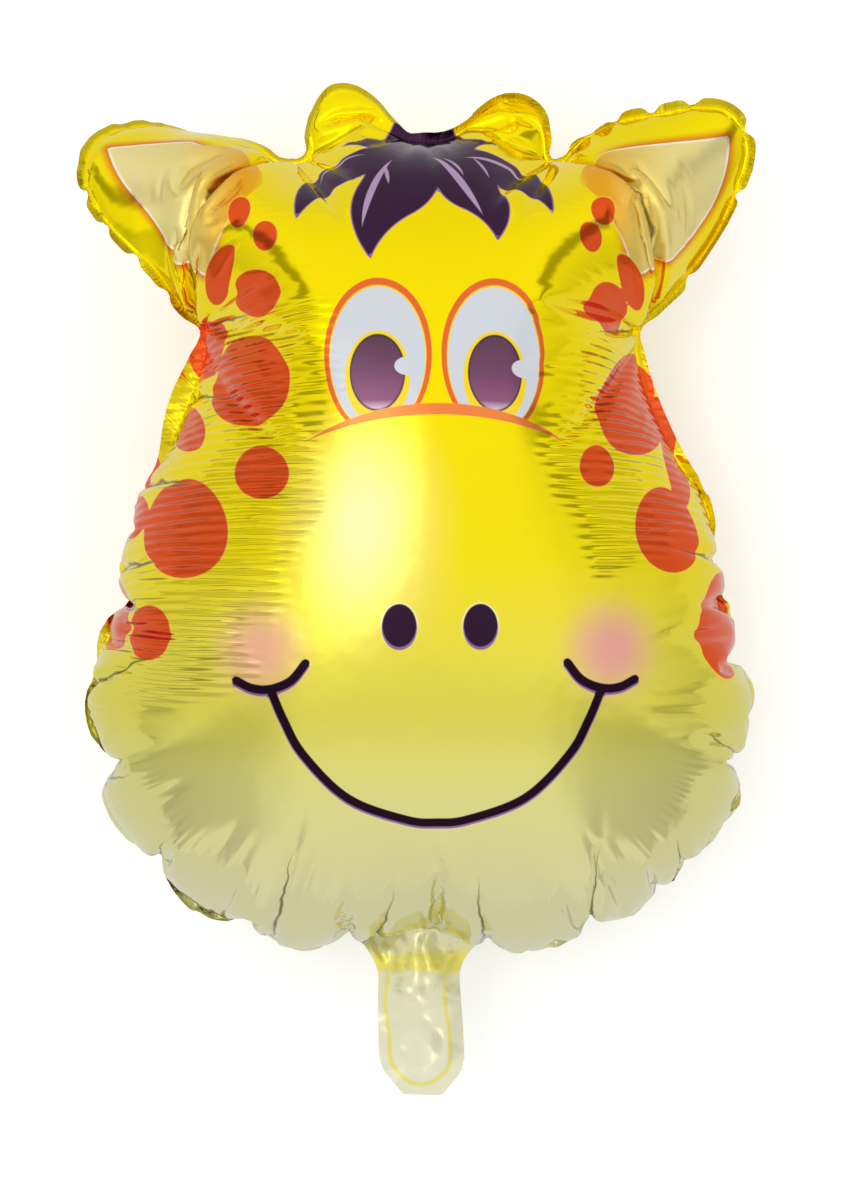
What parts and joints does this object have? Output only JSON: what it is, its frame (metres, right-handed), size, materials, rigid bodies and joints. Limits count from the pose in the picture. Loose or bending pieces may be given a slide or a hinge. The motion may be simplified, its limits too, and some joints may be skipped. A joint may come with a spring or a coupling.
{
  "type": "giraffe foil balloon",
  "caption": "Inflated foil balloon shaped as a giraffe's head with ears, small horns, a welded rim and a flat fill tab, lying face up on its back.",
  "frame": {"origin": "middle of the small flat at the crown of the back, on the surface that the balloon lies on", "axes": "+Z out of the face, away from the surface; +Y towards the top of the head, away from the fill tab; +X towards the ear on the right of the picture"},
  "size_m": [0.4774, 0.7327, 0.292],
  "materials": {
    "front_film": "glossy metallised film, printed",
    "back_film": "glossy metallised film, printed"
  },
  "bodies": {
    "root": {"front_foil_panel": "front_film", "back_foil_panel": "back_film"}
  },
  "joints": []
}
